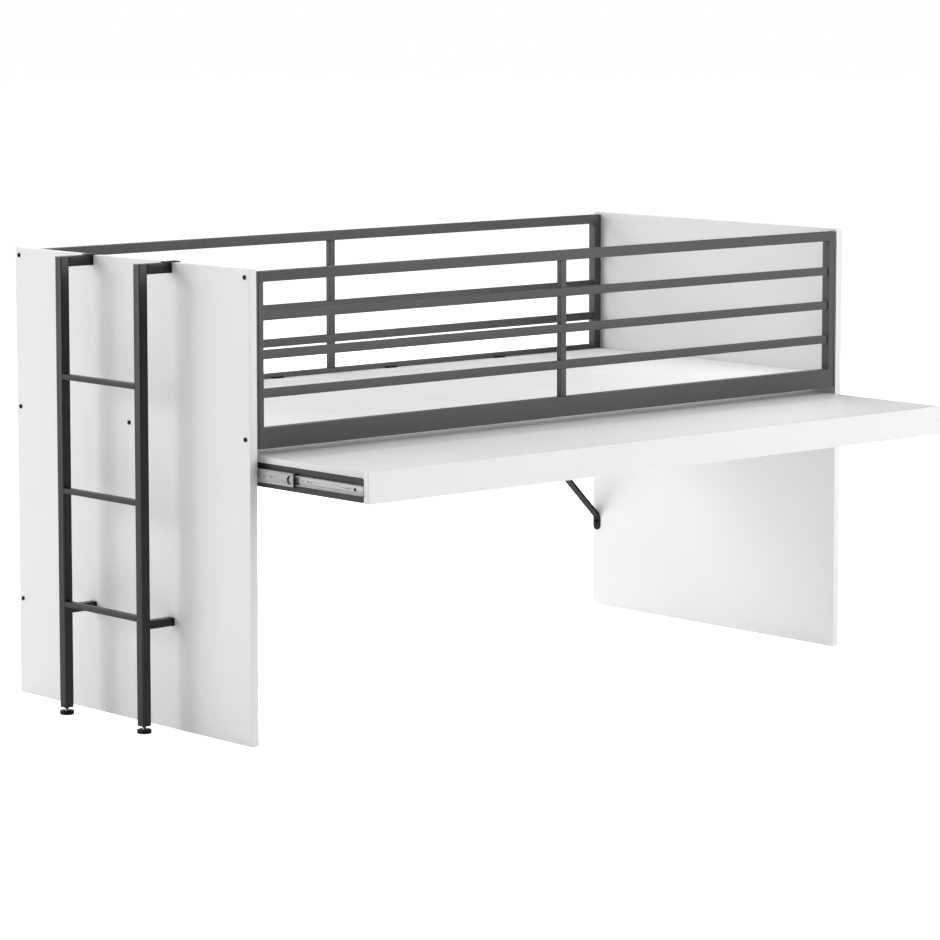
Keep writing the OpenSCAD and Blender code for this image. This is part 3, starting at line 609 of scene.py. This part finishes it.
def copies(name, pattern, spots, mat, body, stands_for=()):
    """The pattern on each spot, as (place, turn), made by the tree, as one piece."""
    mesh = bpy.data.meshes.new(name + "_spots")
    mesh.from_pydata([tuple(place) for place, _ in spots], [], [])
    turns = mesh.attributes.new("turn", "FLOAT_VECTOR", "POINT")
    for i, (_, turned) in enumerate(spots):
        turns.data[i].vector = turned
    scene.collection.objects.link(pattern)
    made = run_tree(copy_tree, name, {"Part": pattern, "Finish": mat}, mesh)
    bpy.data.objects.remove(pattern)
    piece = place_mesh(made, name, mat, body, stands_for)
    print(name, len(spots), "copies,", faces([piece]), "faces")


def fasteners(name, node, pattern, spots, mat):
    """Copies that stand for a node, on its body and in its slot."""
    copies(name, pattern, spots, mat, BODY_OF[node], (node,))


UPRIGHT, QUARTER = (0, 0, 0), math.pi / 2          # turns, in radians
print("a part that lies along X has turned by", round(QUARTER, 4))

# %% [markdown]
# ## The bed's own coordinates
# It is easiest to think of the bed from its front, bottom, left corner, in millimetres. The
# left panel's box gives that corner, so `at` turns such a place into the model's frame.

# %% Places on the bed
CORNER, panel_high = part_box("left_panel")
far_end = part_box("right_panel")[1]
LENGTH = (far_end.x - CORNER.x) / MM
DEPTH = (far_end.y - CORNER.y) / MM
PANEL = (panel_high.x - CORNER.x) / MM


def at(x, y, z):
    """The place, in the model's frame, that lies so many millimetres from the corner."""
    return Vector((CORNER.x + x * MM, CORNER.y + y * MM, z * MM))


rail_low, rail_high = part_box("front_side_rail")
top_low, top_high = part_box("front_guard_top_rail")
RAIL_Z = (rail_low.z + rail_high.z) / 2 / MM
TOP_Z = (top_low.z + top_high.z) / 2 / MM
TUBE_Y = ((rail_low.y + rail_high.y) / 2 - CORNER.y) / MM
print("length", round(LENGTH), "depth", round(DEPTH), "panel", round(PANEL, 1))
print("rail bolts", round(TUBE_Y, 1), "mm in, at heights", round(RAIL_Z, 1), round(TOP_Z, 1))

# %% [markdown]
# ## Panel bolts
# Six black bolts go through each end panel: two into each guard frame at both ends of its
# height, one into the centre beam and one into the brace. What shows is the low round head
# with its hexagon socket. The shank is only a stub, because the board hides it.

# %% Make the bolts
NUT = 5.75                      # radius of a nut over its corners, mm
SHANK, STUB = 3, 20             # radius and length of a bolt's shank
HEAD, HEAD_H = 5.5, 3.0         # radius and height of its head
SOCKET = 2.5                    # half the width of its socket over the flats
bolt_rings = [circle(SHANK, STUB), circle(SHANK, 0), circle(HEAD, 0),
              circle(HEAD, 1.0 - HEAD_H), circle(HEAD - 0.35, 0.4 - HEAD_H),
              circle(HEAD - 1.0, -HEAD_H), circle(SOCKET + 0.6, -HEAD_H),
              hexagon(SOCKET, 0.2 - HEAD_H), hexagon(SOCKET - 0.1, -0.9), circle(0.6, -0.6)]
nuts_low, nuts_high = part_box("hex_nuts")
BEAM_Z, BRACE_Z = nuts_high.z / MM - NUT, nuts_low.z / MM + NUT
bolt_places = [(TUBE_Y, RAIL_Z), (TUBE_Y, TOP_Z), (DEPTH - TUBE_Y, RAIL_Z),
               (DEPTH - TUBE_Y, TOP_Z), (DEPTH / 2, BEAM_Z), (DEPTH - TUBE_Y, BRACE_Z)]
for side, x, turned in (("left", 0, QUARTER), ("right", LENGTH, -QUARTER)):
    fasteners(f"{side}_panel_bolt_set", f"{side}_panel_bolts", loft("bolt", bolt_rings),
              [(at(x, y, z), (0, turned, 0)) for y, z in bolt_places], BOLT_BLACK)

# %% [markdown]
# ## Nuts
# Four hexagon nuts hold the centre beam's end plates and the braces' feet. A nut is a ring: the
# loft runs up the outside, over the chamfer, down the bore and closes on itself.

# %% Make the nuts
NUT_FLAT = NUT * math.cos(math.pi / 6)
NUT_H, CHAMFER = 5, 0.5         # height of a nut, and of its chamfers
NUT_FACE, MOUTH, BORE = 4.6, 3.5, 3.05    # radii of its face, its bore's mouth and its bore
PLATE = 3                       # steel between a nut and the panel
nut_rings = [circle(NUT_FACE, 0), hexagon(NUT_FLAT, CHAMFER), hexagon(NUT_FLAT, NUT_H - CHAMFER),
             circle(NUT_FACE, NUT_H), circle(MOUTH, NUT_H), circle(BORE, NUT_H - CHAMFER),
             circle(BORE, CHAMFER), circle(MOUTH, 0)]
nut_spots = []
for y, z in ((DEPTH / 2, BEAM_Z), (DEPTH - TUBE_Y, BRACE_Z)):
    nut_spots.append((at(PANEL + PLATE, y, z), (0, QUARTER, 0)))
    nut_spots.append((at(LENGTH - PANEL - PLATE, y, z), (0, -QUARTER, 0)))
fasteners("hexagon_nuts", "hex_nuts", loft("nut", nut_rings, closed=True), nut_spots, BOLT_BLACK)

# %% [markdown]
# ## Screws: the pattern
# The slides and the desk's steel are held by small pan-head screws. A real one is pressed: its
# head is a low dome, and the cross recess narrows as it goes in. So the loft runs up the
# shank's tip, over the dome and back down into two smaller crosses. Only the head's height and
# the shank's length change from place to place.

# %% A pattern for the screws
SCREW_HEAD, SCREW_SHANK = 4, 1.9    # radii of a screw's head and shank, mm
SCREW_TIP = 1.2                     # length of its tapered tip


def pan_screw(head_h, shank_l):
    """A pan-head screw: shank up from 0, domed head with a cross recess below it."""
    rings = [circle(SCREW_SHANK * 0.4, shank_l), circle(SCREW_SHANK, shank_l - SCREW_TIP),
             circle(SCREW_SHANK, 0)]
    for out, down in ((1, 0), (1, 0.4), (0.86, 0.8), (0.6, 1)):
        rings.append(circle(SCREW_HEAD * out, -down * head_h))
    for arm, waist, down in ((0.5, 0.16, 0.95), (0.34, 0.1, 0.3)):
        rings.append(cross(SCREW_HEAD * arm, SCREW_HEAD * waist, -down * head_h))
    return loft("screw", rings)


print("screw heads", 2 * SCREW_HEAD, "mm across")

# %% [markdown]
# ## Screws: their places
# Each rail of the desk has four screws up into the desktop and two in the tab behind the
# apron. Each slide has four screws into the desk's rail and four into the end panel. The boxes
# of the rail and the slide give the heights and the fronts, and the right end mirrors the left.

# %% Find the screws' places
desk_low, desk_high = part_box("desk_left_rail")
DESK_X = (desk_low.x - CORNER.x) / MM
DESK_FRONT = (desk_low.y - CORNER.y) / MM
DESK_LOW, DESK_HIGH = desk_low.z / MM, desk_high.z / MM
SLIDE_Z = (DESK_LOW + DESK_HIGH) / 2
OUTER_FRONT = (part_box("left_slide_outer")[0].y - CORNER.y) / MM
DESK_SHEET = 2                  # thickness of the desk's steel, mm
FLANGE_LINE = 11                # from a rail's outer face to the screws in its flange
TAB_IN = 16                     # from a rail's long edges to the screws in its tab
ALONG_DESK = (40, 170, 300, 430)
ALONG_SLIDE = (30, 265, 340, 420)
BRACE_HEAD_H = 2                # height of the head under a brace's upper end


def both_ends(x):
    """A place at the left end and its mirror image at the right end, each with its side."""
    return (x, 1), (LENGTH - x, -1)


desk_spots = []
for x, _ in both_ends(DESK_X + FLANGE_LINE):
    desk_spots += [(at(x, DESK_FRONT + y, DESK_HIGH - DESK_SHEET), UPRIGHT) for y in ALONG_DESK]
    desk_spots += [(at(x, DESK_FRONT + DESK_SHEET, z), (QUARTER, 0, 0))
                   for z in (DESK_LOW + TAB_IN, DESK_HIGH - TAB_IN)]
inner_spots = [(at(x, DESK_FRONT + y, SLIDE_Z), (0, side * QUARTER, 0))
               for y in ALONG_SLIDE for x, side in both_ends(DESK_X - SLIDE_WALL)]
outer_spots = [(at(x, OUTER_FRONT + y, SLIDE_Z), (0, -side * QUARTER, 0))
               for y in ALONG_SLIDE for x, side in both_ends(PANEL)]
brace_low, brace_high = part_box("brace_rail_screws")
brace_spots = [(Vector((x, (brace_low.y + brace_high.y) / 2, brace_low.z + BRACE_HEAD_H * MM)),
                UPRIGHT) for x in (brace_low.x + SCREW_HEAD * MM, brace_high.x - SCREW_HEAD * MM)]
print("screws", [len(spots) for spots in (desk_spots, inner_spots, outer_spots, brace_spots)])

# %% [markdown]
# ## Screws: the four sets
# The desk's own screws and those in the panels are zinc plated, and the black ones hold the
# inner members and the braces. The heads in the members are flat enough to pass the sliding
# parts.

# %% Make the screws
for name, node, head_h, shank_l, spots, mat in (
        ("desk_screw_set", "desk_screws", 2, 2, desk_spots, BRIGHT_ZINC),
        ("inner_member_screws", "slide_desk_screws", 1.5, 6, inner_spots, BOLT_BLACK),
        ("outer_member_screws", "slide_panel_screws", 1.2, 8, outer_spots, BRIGHT_ZINC),
        ("brace_screws", "brace_rail_screws", BRACE_HEAD_H, 8, brace_spots, BOLT_BLACK)):
    fasteners(name, node, pan_screw(head_h, shank_l), spots, mat)

# %% [markdown]
# ## Ball cages
# Between the members run thin steel cages, each with eight balls above and eight below. The
# cage keeps the model's own shape, which already holds a coarse ball at each place, and a
# smooth bright ball a little larger goes over each. The place of a ball follows from the
# members' heights: it runs in the middle of the gap between two of them.

# %% Make the ball cages
BALLS = 8                       # in one row
BALL_RINGS, BALL_POINTS = 9, 16
CAGE_EASE = 0.1 * MM


def ball(radius):
    """A ball as a loft of rings from one pole to the other."""
    angles = [math.pi * (k + 0.5) / BALL_RINGS for k in range(BALL_RINGS)]
    return loft("ball", [circle(radius * math.sin(a), -radius * math.cos(a), BALL_POINTS)
                         for a in angles])


def half_height(node):
    """Half the height of a node, in millimetres."""
    low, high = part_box(node)
    return (high.z - low.z) / 2 / MM


def ball_cage(side, kind, outside, inside):
    """A cage with its balls, which runs between two members of the slide on that side."""
    node = f"{side}_{kind}_ball_cage"
    low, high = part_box(node)
    track_high = half_height(f"{side}_slide_{outside}") - SLIDE_WALL
    race = (track_high + half_height(f"{side}_slide_{inside}")) / 2
    radius = half_height(node) - race
    x = high.x - radius * MM if side == "left" else low.x + radius * MM
    pitch = (high.y - low.y) / BALLS
    spots = [(Vector((x, low.y + (i + 0.5) * pitch, (SLIDE_Z + row * race) * MM)), UPRIGHT)
             for row in (-1, 1) for i in range(BALLS)]
    eased(node, CAGE_EASE, segments=1)
    copies(f"{side}_{kind}_balls", ball(radius), spots, BRIGHT_ZINC, BODY_OF[node])


for side in ("left", "right"):
    ball_cage(side, "outer", "outer", "middle")
    ball_cage(side, "inner", "middle", "inner")

# %% [markdown]
# ## Clips: the seams that they sit on
# Where two platform boards meet, a small dark clip sits on the seam against each side rail.
# The first two boards give the width of a seam and the step to the next one.

# %% Find the seams
board_low, board_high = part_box("platform_board_1")
next_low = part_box("platform_board_2")[0]
BOARD_TOP = board_high.z / MM
SEAM = (next_low.x - board_high.x) / MM
BOARD_STEP = (next_low.x - board_low.x) / MM
CLIP_Y = (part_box("board_clips")[0].y - CORNER.y) / MM
SEAMS = sum(node.startswith("platform_board") for node in BODY_OF) - 1
seam_x = [(board_high.x - CORNER.x) / MM + SEAM / 2 + i * BOARD_STEP for i in range(SEAMS)]
print("seams", round(SEAM, 1), "mm wide at", [round(x) for x in seam_x])

# %% [markdown]
# ## Clips: the piece
# A clip slopes down towards the middle of the bed so that it doesn't dig into the mattress,
# and its tongue keeps the boards apart. It is moulded in one piece. A profile whose corners
# are cut off is drawn out along the bed for the clip, and a block below it is the tongue.

# %% Make the clips
CLIP_L, CLIP_W, CLIP_H = 35, 12, 4.0        # length, width and height of a clip, mm
TONGUE_W, TONGUE_H, TONGUE_ROOM = 10, 19, 0.2    # its width, height and room in the seam
SLOPE = [(0, 0), (CLIP_W, 0), (CLIP_W, 1.0), (CLIP_W - 1, 1.5), (CLIP_W - 4, 3.7),
         (CLIP_W - 5, CLIP_H), (0, CLIP_H)]


def clip_pattern():
    """A clip with its tongue below, its back at y = 0 and its seat at z = 0."""
    bm = bmesh.new()
    ends = [[bm.verts.new((x, y, z)) for y, z in SLOPE] for x in (-CLIP_L / 2, CLIP_L / 2)]
    bm.faces.new(ends[0])
    bm.faces.new(list(reversed(ends[1])))
    for i in range(len(SLOPE)):
        j = (i + 1) % len(SLOPE)
        bm.faces.new((ends[0][j], ends[0][i], ends[1][i], ends[1][j]))
    tongue = bmesh.ops.create_cube(bm, size=1)["verts"]
    bmesh.ops.scale(bm, vec=(SEAM - 2 * TONGUE_ROOM, TONGUE_W, TONGUE_H), verts=tongue)
    bmesh.ops.translate(bm, vec=(0, CLIP_W / 2, -TONGUE_H / 2), verts=tongue)
    bmesh.ops.scale(bm, vec=(MM, MM, MM), verts=bm.verts)
    return part_from(bm, "clip")


clip_spots = [(at(x, CLIP_Y, BOARD_TOP), UPRIGHT) for x in seam_x]
clip_spots += [(at(x, DEPTH - CLIP_Y, BOARD_TOP), (0, 0, math.pi)) for x in seam_x]
fasteners("seam_clips", "board_clips", clip_pattern(), clip_spots, BLACK_PLASTIC)

# %% [markdown]
# ## Levelling feet
# Each ladder stile ends in a threaded foot: a black disc that stands on the floor and a bright
# threaded stem that goes up into the stile. The disc is a loft with a soft lower rim. The
# stem's thread is a real helix: rings of points whose radius follows the thread's angle.

# %% Make the feet
STEM, THREAD, PITCH = 4.9, 0.45, 1.5    # the stem's radius, and its thread's depth and pitch, mm
TURN_RINGS, FADE_RINGS = 8, 6   # rings in a turn of the thread, and in its run-out at both ends
STEM_POINTS, DISC_POINTS = 32, 48
DISH, DISH_DEPTH, STEM_SEAT = 7.5, 0.8, 5.0    # the hollow round the stem: radii and depth, mm


def threaded_stem(low, high):
    """Rings up a stem whose ridge climbs as it turns, and runs out at both ends."""
    steps = int((high - low) / (PITCH / TURN_RINGS))
    rings = []
    for k in range(steps + 1):
        z = low + (high - low) * k / steps
        full = min(1.0, k / FADE_RINGS, (steps - k) / FADE_RINGS)

        def radius_at(a):
            phase = (z / PITCH - a / (2 * math.pi)) % 1.0
            return STEM - THREAD * full * abs(2 * phase - 1)

        rings.append(ring_of(radius_at, z, STEM_POINTS))
    return rings


for side in ("left", "right"):
    foot_node, stem_node = f"ladder_{side}_foot", f"{side}_foot_stem"
    low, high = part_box(foot_node)
    rim, top = (high.x - low.x) / 2 / MM, high.z / MM
    profile = [(rim - 1.4, 0.0), (rim - 0.5, 0.3), (rim, 1.3), (rim, top - 1.6),
               (rim - 0.4, top - 0.5), (rim - 1.4, top), (DISH, top),
               (DISH - 0.5, top - DISH_DEPTH), (STEM_SEAT, top - DISH_DEPTH)]
    disc = loft("disc", [circle(radius, z, DISC_POINTS) for radius, z in profile])
    stem_low, stem_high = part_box(stem_node)
    stem = loft("stem", threaded_stem(stem_low.z / MM, stem_high.z / MM))
    spot = (Vector(((low.x + high.x) / 2, (low.y + high.y) / 2, 0)), UPRIGHT)
    fasteners(f"{side}_foot_disc", foot_node, disc, [spot], BLACK_PLASTIC)
    fasteners(f"{side}_foot_thread", stem_node, stem, [spot], BRIGHT_ZINC)

# %% [markdown]
# ## The studio: pure white that lights softly
# The bed is pictured cut out on pure white. A floor and a sky of full white would light every
# face alike and wash the shading out. So both look plain white to the camera, while the pieces
# get less light from them.

# %% Build the floor and the sky
FLOOR = 40                      # half the floor's side, m
FLOOR_LIGHT, SKY_LIGHT = 0.242, 0.01    # how bright the pieces find them; the camera finds 1


def white_to_camera(tree, socket, light):
    """Gives a strength 1 for what the camera sees directly, and light for all the rest."""
    path = tree.nodes.new("ShaderNodeLightPath")
    level = tree.nodes.new("ShaderNodeMapRange")
    level.inputs["To Min"].default_value = light
    level.inputs["To Max"].default_value = 1.0
    wire(tree, (path, "Is Camera Ray", level, "Value"))
    tree.links.new(level.outputs["Result"], socket)


floor_mesh = bpy.data.meshes.new("studio_floor")
floor_mesh.from_pydata([(x * FLOOR, y * FLOOR, 0) for x, y in ((-1, -1), (1, -1), (1, 1), (-1, 1))],
                       [], [(0, 1, 2, 3)])
floor = bpy.data.objects.new("studio_floor", floor_mesh)
scene.collection.objects.link(floor)
paper = finish("studio_floor_paper", (0.90, 0.90, 0.90), 0.9, grain=40, bump=0.02, drift=0.004)
paper_shader = paper.node_tree.nodes["Principled BSDF"]
paper_shader.inputs["Emission Color"].default_value = (1, 1, 1, 1)
white_to_camera(paper.node_tree, paper_shader.inputs["Emission Strength"], FLOOR_LIGHT)
floor_mesh.materials.append(paper)
world = bpy.data.worlds.new("studio_white")
scene.world = world
world.use_nodes = True
sky = world.node_tree.nodes["Background"]
sky.inputs["Color"].default_value = (1, 1, 1, 1)
white_to_camera(world.node_tree, sky.inputs["Strength"], SKY_LIGHT)
print("floor", 2 * FLOOR, "m square")

# %% [markdown]
# ## The studio: softboxes
# The light is soft, but it has a direction. The ladder's stiles throw soft upright bands on
# the end panel, each a little in front of its stile, so the main light is a broad softbox to
# the left, about 30 degrees behind the panel's square-on line, and a second one further back
# draws the light out on that side. The desktop is dark only beside the guard, and that shadow
# fades slowly, so light also comes from above and from high behind. Two softboxes to the front
# right, one high and one low, light the long side.

# %% Light the studio
LIGHTS = [
    # name, place, target, width, height, power
    ("left_softbox", (-12.9, 7.6, 4.2), (-0.98, 0.2, 0.6), 7.0, 8.0, 656),
    ("rear_left_softbox", (-9.98, 10.9, 4.2), (-0.98, 0.2, 0.6), 6.0, 8.0, 437),
    ("front_right_high_softbox", (6.0, -8.0, 8.0), (0.3, -0.3, 0.5), 5.0, 5.0, 567),
    ("front_right_low_softbox", (5.5, -9.5, 3.0), (0.5, -0.2, 0.5), 4.0, 4.0, 395),
    ("overhead_softbox", (0.2, 1.2, 7.0), (0.1, -0.1, 0.6), 6.0, 5.0, 338),
    ("rear_high_softbox", (0.2, 8.0, 6.0), (0.1, 0.0, 0.6), 8.0, 4.0, 466),
]


def softbox(name, place, target, wide, high, power):
    """A rectangular area light at a place, facing a target."""
    data = bpy.data.lights.new(name, "AREA")
    data.shape = "RECTANGLE"
    data.size, data.size_y, data.energy = wide, high, power
    lamp = bpy.data.objects.new(name, data)
    scene.collection.objects.link(lamp)
    lamp.location = place
    facing = Vector(target) - Vector(place)
    lamp.rotation_euler = facing.to_track_quat("-Z", "Y").to_euler()


for light in LIGHTS:
    softbox(*light)
scene.view_settings.view_transform = "Standard"
